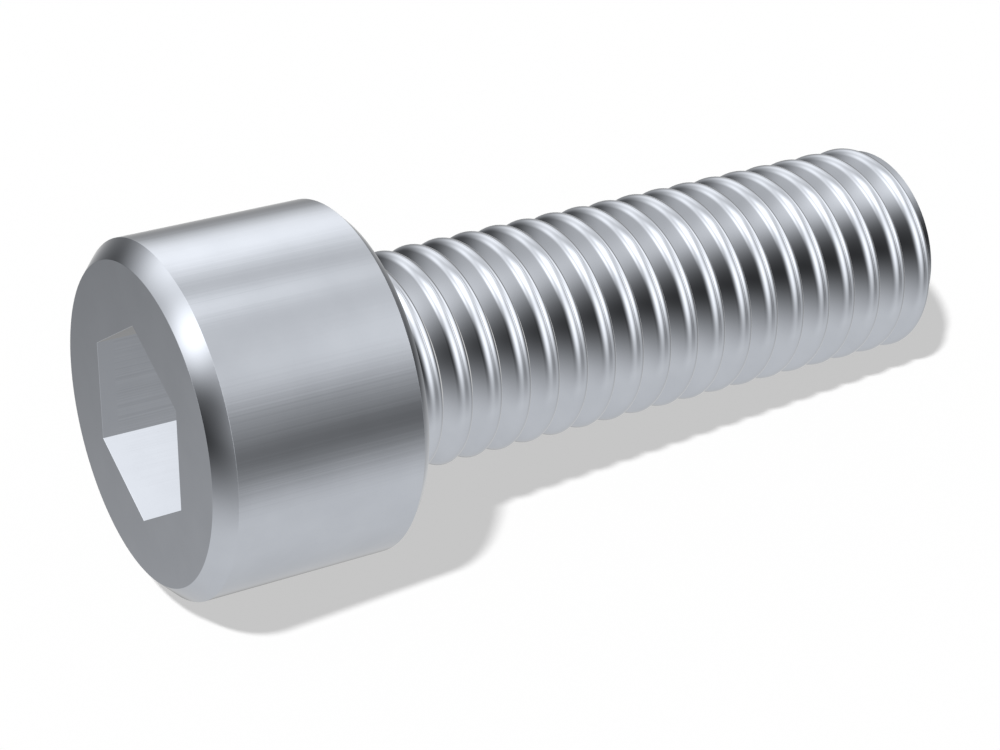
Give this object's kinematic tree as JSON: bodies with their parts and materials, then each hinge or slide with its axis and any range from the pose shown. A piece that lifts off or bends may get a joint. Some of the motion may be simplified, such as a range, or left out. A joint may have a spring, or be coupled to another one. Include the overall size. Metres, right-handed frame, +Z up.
{
  "type": "socket head cap screw",
  "caption": "Steel cap screw with a plain cylindrical head, a hexagon socket and a coarse right-hand thread that runs up to the head.",
  "frame": {"origin": "on the surface it lies on, under the middle of its bounding box", "axes": "+X along the screw from its head to its point, +Z up; the screw's own axis slopes down by 5.8 degrees towards the point"},
  "size_m": [0.041, 0.016, 0.0168],
  "materials": {
    "steel": "bright smooth steel, polished by machining and rolling"
  },
  "bodies": {
    "root": {"cap_screw": "steel"}
  },
  "joints": []
}
